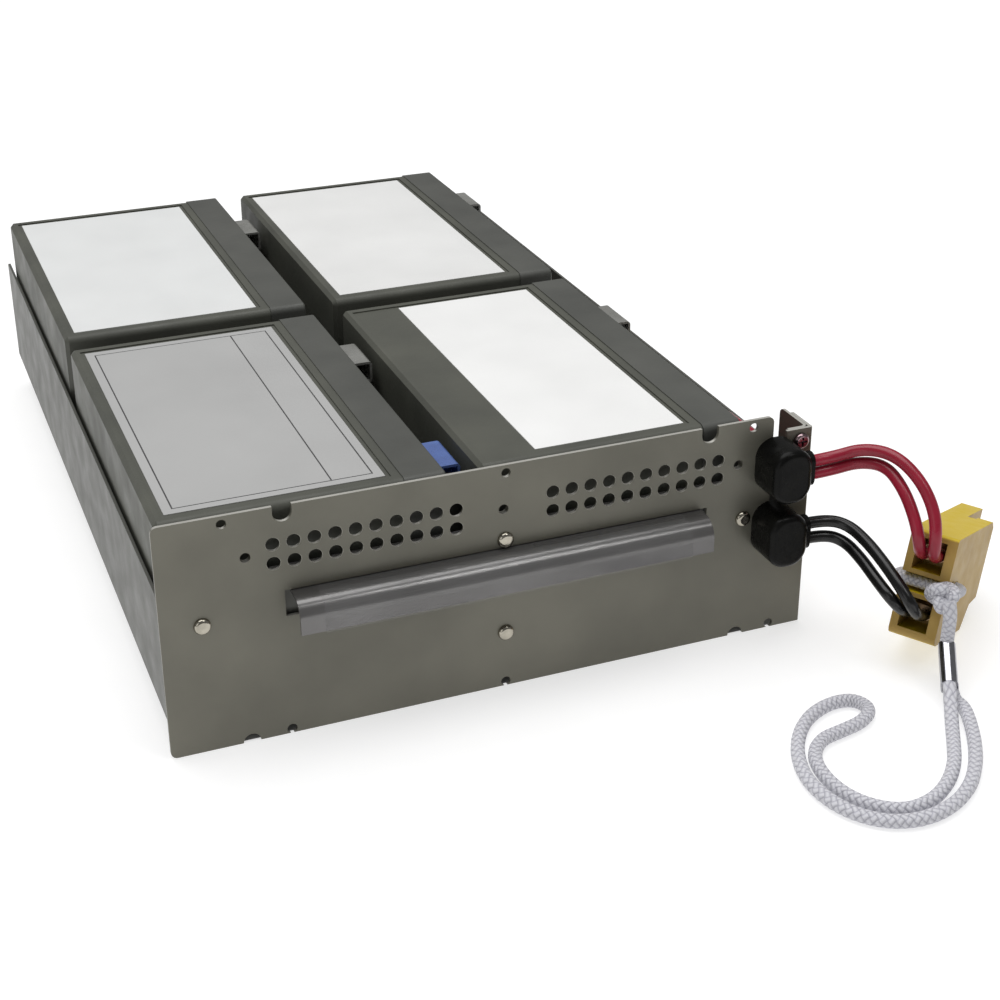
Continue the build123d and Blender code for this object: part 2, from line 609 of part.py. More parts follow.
BLACK_INNER = (
    (0.0, CABLE_Y, LOWER_BOOT_Z - BLACK_PITCH / 2), (7.6, CABLE_Y, LOWER_BOOT_Z - BLACK_PITCH / 2),
    (12.8, -12.8, 37.0), (14.0, -22.0, 34.4), (14.2, -31.5, 31.2), (14.6, -41.0, 28.2),
    (21.53, -39.84, 20.77), (27.94, -34.96, 18.42),
)


def connector_frame():
    """The connector's local axes: X towards its mating end, Y to its far side, Z to its upper pole."""
    yaw = math.radians(CONNECTOR_YAW)
    pitch = math.radians(CONNECTOR_PITCH)
    ahead = Vector(math.cos(yaw) * math.cos(pitch), math.sin(yaw) * math.cos(pitch), -math.sin(pitch))
    above = Vector(math.cos(yaw) * math.sin(pitch), math.sin(yaw) * math.sin(pitch), math.cos(pitch))
    above = above.rotate(Axis((0, 0, 0), ahead), CONNECTOR_ROLL)
    return Plane(origin=CONNECTOR_PLACE, x_dir=ahead, z_dir=above)


def shell_slab(length, y0, y1):
    """One half of the housing's thickness, stepped back at its lower front."""
    high = SHELL_HEIGHT / 2
    profile = Polyline(
        (0, -high), (0, high), (length, high), (length, STEP_Z + 0.6), (STEP_X, STEP_Z - 0.6), (FOOT_X, -high),
        close=True,
    )
    face = make_face(profile)
    face = fillet(face.vertices().sort_by_distance((0, -high, 0))[0], 3.0)
    face = fillet(face.vertices().sort_by_distance((0, high, 0))[0], 1.2)
    return extrude(Plane.XZ.offset(-y0) * face, amount=y0 - y1)


def connector_shell():
    """The housing: two wire pockets and a valley behind, one mating cavity with a key slot in front."""
    half = SHELL_THICKNESS / 2
    high = SHELL_HEIGHT / 2
    near = NEAR_WALL - half
    far = half - FAR_WALL
    middle = (near + far) / 2
    body = shell_slab(NEAR_LENGTH, -half, half) + shell_slab(SHELL_LENGTH, LONG_SIDE_START, half)
    # The near side is cut off at an angle along its upper front edge.
    nose = Polyline(
        (NEAR_LENGTH - NOSE_CHAMFER, high), (NEAR_LENGTH, high), (NEAR_LENGTH, high - NOSE_CHAMFER), close=True
    )
    body -= extrude(Plane.XZ.offset(half) * make_face(nose), amount=-half - LONG_SIDE_START)
    for z in (UPPER_POCKET_Z, LOWER_POCKET_Z):
        low = z - POCKET_HEIGHT / 2
        body -= block(0, POCKET_DEPTH, near, far, low, low + POCKET_HEIGHT)
        slot = BLADE_THICKNESS / 2 + FIT
        tall = BLADE_HEIGHT / 2 + FIT
        body -= block(POCKET_DEPTH, CAVITY_START, middle - slot, middle + slot, z - tall, z + tall)
    body -= block(CAVITY_START, SHELL_LENGTH, near, far, CAVITY_MARGIN - high, high - CAVITY_MARGIN)
    key = LONG_SIDE_START - KEY_SLOT_WIDTH
    body -= block(KEY_SLOT_START, SHELL_LENGTH, key, LONG_SIDE_START, high - CAVITY_MARGIN - 1, high)
    low = TIE_Z - VALLEY_WIDTH / 2
    body -= block(0, VALLEY_DEPTH, -half, half, low, low + VALLEY_WIDTH)
    return body - rod_y(TIE_HOLE_X, TIE_Z, TIE_RADIUS + TIE_CLEARANCE, -half, half)


def connector_contacts():
    """Two contacts: a crimp barrel in the wire pocket and a blade that reaches the mating cavity."""
    middle = (NEAR_WALL - FAR_WALL) / 2
    width = WIRE_PITCH + 2 * CABLE_RADIUS
    group = []
    for z in (UPPER_POCKET_Z, LOWER_POCKET_Z):
        start = POCKET_DEPTH - BARREL_LENGTH
        barrel = RectangleRounded(width, BARREL_THICKNESS, BARREL_THICKNESS / 2 - FIT)
        contact = extrude(Plane.YZ.offset(start) * Pos(middle, z) * barrel, amount=BARREL_LENGTH)
        half = BLADE_THICKNESS / 2
        tall = BLADE_HEIGHT / 2
        contact += block(POCKET_DEPTH, BLADE_END, middle - half, middle + half, z - tall, z + tall)
        group.append(contact)
    return Compound(group)


# Route of the lanyard: from the top of the crimp round the loop on the floor and back, with X
# from the boots' outlets.
LANYARD = (
    (30.68, -51.98, 11.04), (23.79, -65.29, 2.4), (25.0, -71.6, 2.35), (21.0, -80.8, 2.35),
    (15.8, -90.4, 2.35), (9.4, -99.8, 2.35), (1.6, -108.2, 2.35), (-8.4, -114.4, 2.35),
    (-19.6, -117.0, 2.35), (-30.2, -115.0, 2.35), (-38.0, -108.4, 2.35), (-42.4, -99.0, 2.35),
    (-43.4, -87.6, 2.35), (-40.2, -76.2, 2.35), (-34.0, -65.8, 2.35), (-25.2, -57.4, 2.35),
    (-14.6, -53.2, 2.35), (-6.2, -54.2, 2.35), (-3.8, -61.2, 2.35), (-10.2, -66.4, 2.35),
    (-19.4, -68.4, 2.35), (-28.2, -70.0, 2.35), (-34.8, -76.6, 2.35), (-37.4, -86.0, 2.35),
    (-36.8, -96.2, 2.35), (-32.6, -105.2, 2.35), (-24.6, -111.2, 2.35), (-14.4, -110.6, 2.35),
    (-4.8, -105.2, 2.35), (3.4, -97.2, 2.35), (9.2, -88.4, 2.35), (14.6, -79.6, 2.35),
    (21.9, -67.18, 6.16), (28.92, -53.62, 14.96),
)


def crimp_frame():
    """The crimp's own axes at its upper end: Z down the cord, X the wide way across both strands."""
    top = Vector(*CRIMP_TOP)
    along = (Vector(*CRIMP_FOOT) - top).normalized()
    level = along.cross(Vector(0, 0, 1)).normalized()
    upright = level.cross(along)
    twist = math.radians(CRIMP_TWIST)
    return Plane(origin=top, x_dir=upright * math.cos(twist) + level * math.sin(twist), z_dir=along)


def lanyard_knot():
    """The knot, the cord that crosses the valley and the housing's hole, and the doubled cord below."""
    half = SHELL_THICKNESS / 2
    out = half + TIE_RADIUS + TIE_GAP
    valley = VALLEY_DEPTH - TIE_RADIUS - TIE_GAP
    knot_x, knot_y, _ = KNOT_PLACE
    points = (
        (knot_x + 0.5, knot_y - 0.3), (valley, knot_y / 2), (valley, out), (TIE_HOLE_X, out), (TIE_HOLE_X, -out),
        (1.0, -out), (knot_x + 0.5, knot_y - 1.8),
    )
    path = FilletPolyline(*[(x, y, TIE_Z) for x, y in points], radius=TIE_BEND)
    tie = sweep(Plane(origin=path @ 0, z_dir=path % 0) * Circle(TIE_RADIUS), path=path)
    shell = block(-TIE_GAP, SHELL_LENGTH, -half - TIE_GAP, half, -SHELL_HEIGHT, SHELL_HEIGHT)
    frame = connector_frame()
    crimp = crimp_frame()
    top = Vector(*NECK_TOP)
    turn = crimp.origin - crimp.z_dir * NECK_END
    neck_length = (turn - top).length
    neck = Plane(origin=top, z_dir=turn - top) * Pos(0, 0, neck_length / 2) * Cylinder(NECK_RADIUS, neck_length)
    neck += Pos(*tuple(turn)) * Sphere(NECK_RADIUS)
    strands = SlotOverall(STRAND_PITCH + 2 * CORD_RADIUS, 2 * CORD_RADIUS)
    neck += extrude(crimp * strands, amount=-NECK_END)
    beyond = crimp * Pos(0, 0, -FIT) * Rectangle(8 * CORD_RADIUS, 8 * CORD_RADIUS)
    neck -= extrude(beyond, amount=8 * CORD_RADIUS)
    knot = frame * (Pos(*KNOT_PLACE) * Sphere(KNOT_RADIUS)) + neck - frame * shell
    return knot + frame * tie


def lanyard_crimp():
    """A pressed metal sleeve round both strands, which lie one above the other."""
    frame = crimp_frame()
    length = (Vector(*CRIMP_FOOT) - frame.origin).length
    width = STRAND_PITCH + 2 * CORD_RADIUS + 2 * CRIMP_CLEARANCE
    height = 2 * CORD_RADIUS + 2 * CRIMP_CLEARANCE
    outer = SlotOverall(width + 2 * CRIMP_WALL, height + 2 * CRIMP_WALL)
    return extrude(frame * (outer - SlotOverall(width, height)), amount=length)


# Wires inside the cartridge
def lead(points):
    """A held wire: straight runs, with bends as large as the room allows."""
    corners = [Vector(*p) for p in points]
    radii = []
    for before, corner, after in zip(corners, corners[1:], corners[2:]):
        turn = (corner - before).get_angle(after - corner)
        shorter = min((corner - before).length, (after - corner).length)
        radii.append(min(LEAD_BEND, 0.45 * shorter / math.tan(math.radians(turn) / 2)))
    path = FilletPolyline(*corners, radius=radii)
    return sweep(Plane(origin=path @ 0, z_dir=path % 0) * Circle(CABLE_RADIUS), path=path)


def sleeve_port(x0, y, z, side):
    """Where a wire meets its sleeve, at the sleeve's upper (1) or lower (-1) side."""
    x = x0 + BLOCK_HEIGHT + SLEEVE_STAND_OFF + SLEEVE_WIDTH / 2
    return (x, sleeve_middle(y), z + side * SLEEVE_HEIGHT / 2)


def inner_leads():
    """The wires of both strings of blocks, by name, each a list of corner points."""
    ports = {}
    for column, x0 in (("left", LEFT_COLUMN_X), ("right", RIGHT_COLUMN_X)):
        for row, y0 in (("front", FRONT_ROW_Y), ("back", BACK_ROW_Y)):
            blue = (row, column) == ("front", "left")
            (front_y, front_z), (back_y, back_z) = terminal_places(x0, y0, blue)
            ports[row, column, "front"] = sleeve_port(x0, front_y, front_z, -1 if blue else 1)
            ports[row, column, "back"] = sleeve_port(x0, back_y, back_z, -1)
    lid_side = LEFT_COLUMN_X + BLOCK_HEIGHT + CABLE_RADIUS + LEAD_WALL_GAP
    base_side = RIGHT_COLUMN_X - CABLE_RADIUS - LEAD_WALL_GAP
    wall_side = TRAY_BACK_Y - TRAY_SHEET - CABLE_RADIUS - 8 * FIT
    block_side = BACK_ROW_Y + BLOCK_LENGTH + CABLE_RADIUS + 2 * FIT
    left_lane = CABLE_X - LANE_OFFSET
    right_lane = CABLE_X + LANE_OFFSET
    red_low = UPPER_BOOT_Z - RED_PITCH / 2
    red_high = UPPER_BOOT_Z + RED_PITCH / 2
    black_low = LOWER_BOOT_Z - BLACK_PITCH / 2
    black_high = LOWER_BOOT_Z + BLACK_PITCH / 2
    x, y, z = ports["back", "left", "back"]
    red_left = (
        (x, y, z), (x, y, 40), (lid_side, y + 13, LEAD_Z), (lid_side, wall_side, LEAD_Z),
        (right_lane, wall_side, LEAD_Z), (right_lane, 70, LEAD_Z), (CABLE_X, 30, red_low), (CABLE_X, 0, red_low),
    )
    x, y, z = ports["back", "right", "back"]
    red_right = (
        (x, y, z), (x, y, LEAD_Z), (x + LEAD_WALL_GAP, 90, LEAD_Z), (CABLE_X - 1.5, 40, red_high),
        (CABLE_X, 14, red_high), (CABLE_X, 0, red_high),
    )
    x, y, z = ports["front", "left", "front"]
    black_left = (
        (x, y, z), (x, y, 50), (base_side, y + 24, LEAD_Z), (base_side, block_side, LEAD_Z),
        (left_lane, block_side, LEAD_Z), (left_lane, 45, LEAD_Z), (CABLE_X, 22, black_low), (CABLE_X, 0, black_low),
    )
    x, y, z = ports["front", "right", "front"]
    black_right = ((x, y, z), (x, y, black_high), (CABLE_X, 14, black_high), (CABLE_X, 0, black_high))
    leads = {
        "red_lead_left": red_left,
        "red_lead_right": red_right,
        "black_lead_left": black_left,
        "black_lead_right": black_right,
    }
    for column in ("left", "right"):
        x, y, z = ports["front", column, "back"]
        _, far_y, far_z = ports["back", column, "front"]
        leads[f"jumper_{column}"] = (
            (x, y, z), (x, y, 52), (x, (y + far_y) / 2, 40), (x, far_y, 46), (x, far_y, far_z),
        )
    return leads


def make_parts():
    """Build every sub-part and write it."""
    save(front_panel(), "front_panel")
    save(tray(), "tray")
    save(pull_handle(), "pull_handle")
    save(handle_film(), "handle_film")
    save(corner_bracket(), "corner_bracket")
    save(bracket_screw(), "bracket_screw")
    save(panel_rivets(), "panel_rivets")
    for column, x0 in (("left", LEFT_COLUMN_X), ("right", RIGHT_COLUMN_X)):
        save(floor_pad(x0), f"floor_pad_{column}")
        for row, y0 in (("front", FRONT_ROW_Y), ("back", BACK_ROW_Y)):
            name = f"{row}_{column}"
            blue = name == "front_left"
            save(battery_case(x0, y0), f"battery_case_{name}")
            save(battery_lid(x0, y0, blue), f"battery_lid_{name}")
            save(valve_cover(x0, y0), f"valve_cover_{name}")
            save(terminal_tabs(x0, y0, blue), f"terminal_tabs_{name}")
            seam_width = BLOCK_HEIGHT - LID_DEPTH - LABEL_MARGIN_SEAM
            margin = seam_width - NARROW_LABEL_WIDTH if name == "front_right" else LABEL_MARGIN_BASE
            save(label(x0, y0, margin), f"label_{name}")
            for end, (y, z) in zip(("front", "back"), terminal_places(x0, y0, blue)):
                save(terminal_sleeve(x0, y, z), f"sleeve_{name}_{end}")
    for name, points in inner_leads().items():
        save(lead(points), name)
    save(boot(UPPER_BOOT_Z), "upper_boot")
    save(boot(LOWER_BOOT_Z), "lower_boot")
    save(tube(RED_OUTER, CABLE_RADIUS, "red_cable_outer"), "red_cable_outer")
    save(tube(RED_INNER, CABLE_RADIUS, "red_cable_inner"), "red_cable_inner")
    save(tube(BLACK_OUTER, CABLE_RADIUS, "black_cable_outer"), "black_cable_outer")
    save(tube(BLACK_INNER, CABLE_RADIUS, "black_cable_inner"), "black_cable_inner")
    save(connector_frame() * connector_shell(), "connector_shell")
    save(connector_frame() * connector_contacts(), "connector_contacts")
    save(lanyard_knot(), "lanyard_knot")
    save(lanyard_crimp(), "lanyard_crimp")
    save(tube(LANYARD, CORD_RADIUS, "lanyard_cord"), "lanyard_cord")


os.makedirs("parts", exist_ok=True)
make_parts()
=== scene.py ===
# %% [markdown]
# A battery cartridge for an uninterruptible power supply stands on a white table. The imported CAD
# model brings every rigid piece in its true place, so this lesson adds what CAD leaves out: the
# camera, the light, smooth cords, the knot, small repeated trim and all the finishes.

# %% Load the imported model
import math

import bpy
from mathutils import Matrix, Vector


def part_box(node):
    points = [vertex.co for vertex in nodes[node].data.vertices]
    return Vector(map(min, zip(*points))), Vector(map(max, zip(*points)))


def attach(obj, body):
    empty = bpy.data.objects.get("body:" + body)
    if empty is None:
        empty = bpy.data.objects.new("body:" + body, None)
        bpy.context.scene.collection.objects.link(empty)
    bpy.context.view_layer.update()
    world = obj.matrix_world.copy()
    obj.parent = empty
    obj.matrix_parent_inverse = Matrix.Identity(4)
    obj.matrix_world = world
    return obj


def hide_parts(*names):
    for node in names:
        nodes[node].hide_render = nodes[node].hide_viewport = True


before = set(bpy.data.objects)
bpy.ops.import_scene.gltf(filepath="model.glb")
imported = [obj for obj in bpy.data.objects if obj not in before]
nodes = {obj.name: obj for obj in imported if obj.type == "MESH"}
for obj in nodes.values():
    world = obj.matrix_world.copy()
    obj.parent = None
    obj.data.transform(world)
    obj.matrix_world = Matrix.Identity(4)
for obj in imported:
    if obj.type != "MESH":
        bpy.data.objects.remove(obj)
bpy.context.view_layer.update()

# %% [markdown]
# The cartridge was measured in millimetres from the panel's lower left corner. One helper turns
# such a place into the model's own frame, in metres, so the numbers stay easy to read.

# %% Places in millimetres
MODEL_MIDDLE = Vector((113.5, 156.0, 0.0))


def place(x, y, z):
    """A point given in millimetres from the panel's lower left corner."""
    return (Vector((x, y, z)) - MODEL_MIDDLE) / 1000


def link(piece):
    """Put a new object into the scene."""
    bpy.context.scene.collection.objects.link(piece)
    return piece


print("panel corner at", tuple(place(0, 0, 0)))

# %% [markdown]
# The camera looks down on the cartridge from the front left. Its place, its direction and its long
# lens were worked out from the block sizes and the vent grid, and a small shift frames the
# cartridge as in the picture.

# %% Camera
CAMERA_AZIMUTH = math.radians(20.97)
CAMERA_ELEVATION = math.radians(24.70)
CAMERA_ROLL = math.radians(-0.57)
CAMERA_PLACE = (-75.96, -473.97, 333.32)
SENSOR_WIDTH = 36.0
LENS_LENGTH = 64.35
LENS_SHIFT = (0.02, -0.08)

ahead = Vector((
    math.sin(CAMERA_AZIMUTH) * math.cos(CAMERA_ELEVATION),
    math.cos(CAMERA_AZIMUTH) * math.cos(CAMERA_ELEVATION),
    -math.sin(CAMERA_ELEVATION),
))
level_right = Vector((math.cos(CAMERA_AZIMUTH), -math.sin(CAMERA_AZIMUTH), 0))
level_up = level_right.cross(ahead)
right = level_right * math.cos(CAMERA_ROLL) + level_up * math.sin(CAMERA_ROLL)
up = level_up * math.cos(CAMERA_ROLL) - level_right * math.sin(CAMERA_ROLL)
turn = Matrix((right, up, -ahead)).transposed().to_4x4()

lens = bpy.data.cameras.new("studio_camera")
lens.sensor_fit = "HORIZONTAL"
lens.sensor_width = SENSOR_WIDTH
lens.lens = LENS_LENGTH
lens.shift_x, lens.shift_y = LENS_SHIFT
lens.clip_start = 0.01
lens.clip_end = 20.0
camera = link(bpy.data.objects.new("studio_camera", lens))
camera.matrix_world = Matrix.Translation(place(*CAMERA_PLACE)) @ turn
bpy.context.scene.camera = camera
print("camera at", tuple(round(v, 3) for v in camera.location))

# %% [markdown]
# A product picture on white needs an even surround and one broad light from above. A sun with a wide
# angle lights the whole table alike, so the white never falls off. A soft box on the left makes the
# satin panel shade from light to dark across its width, and a small one high in front draws the
# bright band along the handle's curl.

# %% Floor and lights
FLOOR_HALF = 3.0
SKY_STRENGTH = 0.22

floor_mesh = bpy.data.meshes.new("floor")
corners = [(FLOOR_HALF * x, FLOOR_HALF * y, 0) for x, y in ((-1, -1), (1, -1), (1, 1), (-1, 1))]
floor_mesh.from_pydata(corners, [], [(0, 1, 2, 3)])
floor = link(bpy.data.objects.new("floor", floor_mesh))

world = bpy.data.worlds.new("studio_white")
world.use_nodes = True
sky = world.node_tree.nodes["Background"]
sky.inputs["Color"].default_value = (1.0, 1.0, 1.0, 1)
sky.inputs["Strength"].default_value = SKY_STRENGTH
bpy.context.scene.world = world
bpy.context.scene.view_settings.view_transform = "Standard"


def add_light(name, lamp, direction):
    """Put a light into the scene, turned to shine along a direction."""
    piece = link(bpy.data.objects.new(name, lamp))
    piece.rotation_euler = Vector(direction).to_track_quat("-Z", "Y").to_euler()
    return piece


def soft_light(name, where, target, size, power):
    """A square soft box that faces its target."""
    lamp = bpy.data.lights.new(name, "AREA")
    lamp.size = size
    lamp.energy = power
    box = add_light(name, lamp, Vector(target) - Vector(where))
    box.location = where


def broad_sun(name, towards, strength, angle):
    """A wide, even light from one direction."""
    lamp = bpy.data.lights.new(name, "SUN")
    lamp.energy = strength
    lamp.angle = math.radians(angle)
    add_light(name, lamp, towards)


broad_sun("ceiling_light", towards=(0.1, -0.22, -0.95), strength=2.45, angle=60)
soft_light("left_box", where=(-1.1, -0.9, 0.5), target=(-0.05, -0.1, 0.03), size=0.7, power=1.5)
soft_light("handle_light", where=(0.45, -0.72, 1.2), target=(0, -0.15, 0.05), size=0.35, power=2.0)

# %% [markdown]
# Real finishes are never one flat value. Three small shader groups serve the materials here: one
# gives a soft mottle between two values, one turns fine noise into a bump, and one finds the faces
# that look up or down. Each material then places them with its own values.

# %% Shared shader groups


def shader_group(name, inputs, outputs):
    """An empty shader group with named sockets, and its input and output nodes."""
    tree = bpy.data.node_groups.new(name, "ShaderNodeTree")
    for label, kind, value in inputs:
        socket = tree.interface.new_socket(label, in_out="INPUT", socket_type=kind)
        socket.default_value = value
    for label, kind in outputs:
        tree.interface.new_socket(label, in_out="OUTPUT", socket_type=kind)
    return tree, tree.nodes.new("NodeGroupInput"), tree.nodes.new("NodeGroupOutput")


def mottle_group():
    """Slow noise, mapped between two values."""
    tree, start, end = shader_group(
        "soft_mottle",
        [("Scale", "NodeSocketFloat", 60.0), ("Low", "NodeSocketFloat", 0.3),
         ("High", "NodeSocketFloat", 0.5)],
        [("Value", "NodeSocketFloat")],
    )
    spot = tree.nodes.new("ShaderNodeTexCoord")
    noise = tree.nodes.new("ShaderNodeTexNoise")
    noise.inputs["Detail"].default_value = 5.0
    spread = tree.nodes.new("ShaderNodeMapRange")
    spread.inputs["From Min"].default_value = 0.3
    spread.inputs["From Max"].default_value = 0.7
    tree.links.new(spot.outputs["Object"], noise.inputs["Vector"])
    tree.links.new(start.outputs["Scale"], noise.inputs["Scale"])
    tree.links.new(noise.outputs["Fac"], spread.inputs["Value"])
    tree.links.new(start.outputs["Low"], spread.inputs["To Min"])
    tree.links.new(start.outputs["High"], spread.inputs["To Max"])
    tree.links.new(spread.outputs["Result"], end.inputs["Value"])
    return tree


def grain_group():
    """Fine noise, stretched if wanted, as a bump."""
    tree, start, end = shader_group(
        "fine_grain",
        [("Scale", "NodeSocketFloat", 900.0), ("Height", "NodeSocketFloat", 0.0001),
         ("Stretch", "NodeSocketVector", (1.0, 1.0, 1.0))],
        [("Normal", "NodeSocketVector")],
    )
    spot = tree.nodes.new("ShaderNodeTexCoord")
    stretch = tree.nodes.new("ShaderNodeVectorMath")
    stretch.operation = "MULTIPLY"
    noise = tree.nodes.new("ShaderNodeTexNoise")
    noise.inputs["Detail"].default_value = 3.0
    bump = tree.nodes.new("ShaderNodeBump")
    bump.inputs["Strength"].default_value = 1.0
    tree.links.new(spot.outputs["Object"], stretch.inputs[0])
    tree.links.new(start.outputs["Stretch"], stretch.inputs[1])
    tree.links.new(stretch.outputs["Vector"], noise.inputs["Vector"])
    tree.links.new(start.outputs["Scale"], noise.inputs["Scale"])
    tree.links.new(noise.outputs["Fac"], bump.inputs["Height"])
    tree.links.new(start.outputs["Height"], bump.inputs["Distance"])
    tree.links.new(bump.outputs["Normal"], end.inputs["Normal"])
    return tree


def flat_group():
    """One on faces that look up or down, zero on upright ones."""
    tree, start, end = shader_group(
        "flat_faces",
        [("Low", "NodeSocketFloat", 0.6), ("High", "NodeSocketFloat", 0.9)],
        [("Value", "NodeSocketFloat")],
    )
    facing = tree.nodes.new("ShaderNodeTexCoord")
    split = tree.nodes.new("ShaderNodeSeparateXYZ")
    size = tree.nodes.new("ShaderNodeMath")
    size.operation = "ABSOLUTE"
    spread = tree.nodes.new("ShaderNodeMapRange")
    tree.links.new(facing.outputs["Normal"], split.inputs["Vector"])
    tree.links.new(split.outputs["Z"], size.inputs[0])
    tree.links.new(size.outputs[0], spread.inputs["Value"])
    tree.links.new(start.outputs["Low"], spread.inputs["From Min"])
    tree.links.new(start.outputs["High"], spread.inputs["From Max"])
    tree.links.new(spread.outputs["Result"], end.inputs["Value"])
    return tree


MOTTLE = mottle_group()
GRAIN = grain_group()
# The up-or-down mask carries the painted top light of the panel and the connector.
FLATNESS = flat_group()
print("shader groups", MOTTLE.name, GRAIN.name, FLATNESS.name)

# %% [markdown]
# One recipe makes most finishes: a base colour that drifts between two near tones, a roughness
# that varies with the same kind of mottle, and a grain. Metals, paint, rubber and moulded plastic
# differ only in the values.

# %% A recipe for finishes


def group_node(tree, group, **values):
    """Place a shader group and set its inputs."""
    node = tree.nodes.new("ShaderNodeGroup")
    node.node_tree = group
    for label, value in values.items():
        node.inputs[label].default_value = value
    return node


def blend(tree, factor, first, second):
    """Mix two colours, each given as a colour or as the socket that brings it."""
    node = tree.nodes.new("ShaderNodeMix")
    node.data_type = "RGBA"
    tree.links.new(factor, node.inputs["Factor"])
    for side, colour in (("A", first), ("B", second)):
        if isinstance(colour, tuple):
            node.inputs[side].default_value = (*colour, 1)
        else:
            tree.links.new(colour, node.inputs[side])
    return node.outputs["Result"]


COAT_ROUGHNESS = 0.12


def finish(name, light, dark, rough=(0.35, 0.5), metallic=0.0, mottle=40.0, grain=900.0, height=0.00005,
           stretch=(1.0, 1.0, 1.0), coat=0.0, specular=0.5):
    """A material whose colour, roughness and surface all vary a little."""
    material = bpy.data.materials.new(name)
    material.use_nodes = True
    tree = material.node_tree
    shader = tree.nodes["Principled BSDF"]
    shader.inputs["Metallic"].default_value = metallic
    shader.inputs["Coat Weight"].default_value = coat
    shader.inputs["Coat Roughness"].default_value = COAT_ROUGHNESS
    shader.inputs["Specular IOR Level"].default_value = specular
    drift = group_node(tree, MOTTLE, Scale=mottle, Low=0.0, High=1.0)
    tree.links.new(blend(tree, drift.outputs["Value"], dark, light), shader.inputs["Base Color"])
    roughness = group_node(tree, MOTTLE, Scale=mottle * 3, Low=rough[0], High=rough[1])
    tree.links.new(roughness.outputs["Value"], shader.inputs["Roughness"])
    surface = group_node(tree, GRAIN, Scale=grain, Height=height, Stretch=stretch)
    tree.links.new(surface.outputs["Normal"], shader.inputs["Normal"])
    return material


def overlay(material, mask, colour):
    """Lay another colour over a material's own where a mask is one."""
    tree = material.node_tree
    base = tree.nodes["Principled BSDF"].inputs["Base Color"]
    own = base.links[0].from_socket
    tree.links.new(blend(tree, mask, own, colour), base)


def paint_top_light(material, colour, low=0.6, high=0.9):
    """Paint light from above as another colour on the faces that look up or down."""
    flat = group_node(material.node_tree, FLATNESS, Low=low, High=high)
    overlay(material, flat.outputs["Value"], colour)


print("recipe ready")

# %% [markdown]
# The panel, the angle behind its tab and the tray are steel sheet. The panel is a warm satin grey
# with a painted highlight on its faces that look up or down, the tray has a duller, slightly green zinc
# finish, and the handle is a smoother steel whose fine lines run along its length.

# %% Sheet metal finishes
panel_paint = finish("panel_paint", (0.165, 0.159, 0.128), (0.12, 0.116, 0.093), rough=(0.34, 0.44),
                     metallic=0.4, mottle=22.0, grain=1400.0, height=0.00003)
# Painted highlight: the panel's faces that look up or down get a much lighter tone.
paint_top_light(panel_paint, (0.5, 0.49, 0.45))
tray_zinc = finish("tray_zinc", (0.097, 0.097, 0.085), (0.087, 0.088, 0.077), rough=(0.4, 0.55),
                   metallic=0.2, mottle=30.0, grain=900.0, height=0.00003)
handle_steel = finish("handle_steel", (0.165, 0.16, 0.158), (0.13, 0.126, 0.123), rough=(0.2, 0.26),
                      metallic=0.55, mottle=40.0, grain=260.0, height=0.00002, stretch=(0.05, 3.0, 3.0),
                      coat=0.35)
rivet_steel = finish("rivet_steel", (0.46, 0.43, 0.36), (0.32, 0.30, 0.25), rough=(0.1, 0.18), metallic=1.0,
                     mottle=300.0, grain=900.0, height=0.00002)
# The screws' pink tint is a painted reflection of the red cables in bare steel.
screw_steel = finish("screw_steel", (0.38, 0.28, 0.29), (0.26, 0.18, 0.2), rough=(0.16, 0.26), metallic=1.0,
                     mottle=400.0, grain=1200.0, height=0.00002)
chrome = finish("chrome", (0.42, 0.42, 0.45), (0.34, 0.34, 0.37), rough=(0.06, 0.14), metallic=1.0,
                mottle=200.0, grain=500.0, height=0.00002)
tab_tin = finish("tab_tin", (0.75, 0.74, 0.71), (0.6, 0.59, 0.56), rough=(0.25, 0.4), metallic=1.0,
                 mottle=200.0)
contact_copper = finish("contact_copper", (0.6, 0.42, 0.26), (0.45, 0.28, 0.16), rough=(0.25, 0.4),
                        metallic=1.0)
print("metals", len(bpy.data.materials))

# %% [markdown]
# The battery jars are moulded ABS with a dull, faintly dusty surface. The cables have a glossy
# jacket, the boots are black rubber, and the connector is a waxy tan plastic, with painted light
# from above turning its faces that look up or down yellow.

# %% Plastic and rubber finishes
jar_plastic = finish("jar_plastic", (0.098, 0.1, 0.082), (0.07, 0.072, 0.061), rough=(0.42, 0.6),
                     mottle=26.0, grain=700.0, height=0.00006, specular=0.3)
lid_plastic = finish("lid_plastic", (0.097, 0.099, 0.089), (0.072, 0.074, 0.067), rough=(0.4, 0.55),
                     mottle=30.0, grain=700.0, height=0.00005, specular=0.3)
pad_foam = finish("pad_foam", (0.07, 0.07, 0.07), (0.03, 0.03, 0.03), rough=(0.8, 0.95), grain=500.0,
                  height=0.0003)
boot_rubber = finish("boot_rubber", (0.007, 0.007, 0.006), (0.003, 0.003, 0.003), rough=(0.2, 0.38),
                     mottle=120.0, grain=420.0, height=0.00004, specular=0.1)
red_jacket = finish("red_jacket", (0.32, 0.013, 0.036), (0.23, 0.008, 0.022), rough=(0.24, 0.34),
                    mottle=60.0, grain=300.0, height=0.00004, specular=0.4)
black_jacket = finish("black_jacket", (0.006, 0.006, 0.006), (0.003, 0.003, 0.003), rough=(0.2, 0.3),
                      mottle=60.0, grain=300.0, height=0.00004, specular=0.4)
connector_plastic = finish("connector_plastic", (0.45, 0.30, 0.085), (0.37, 0.235, 0.055),
                           rough=(0.36, 0.48), mottle=70.0, grain=500.0, height=0.00006,
                           specular=0.25)
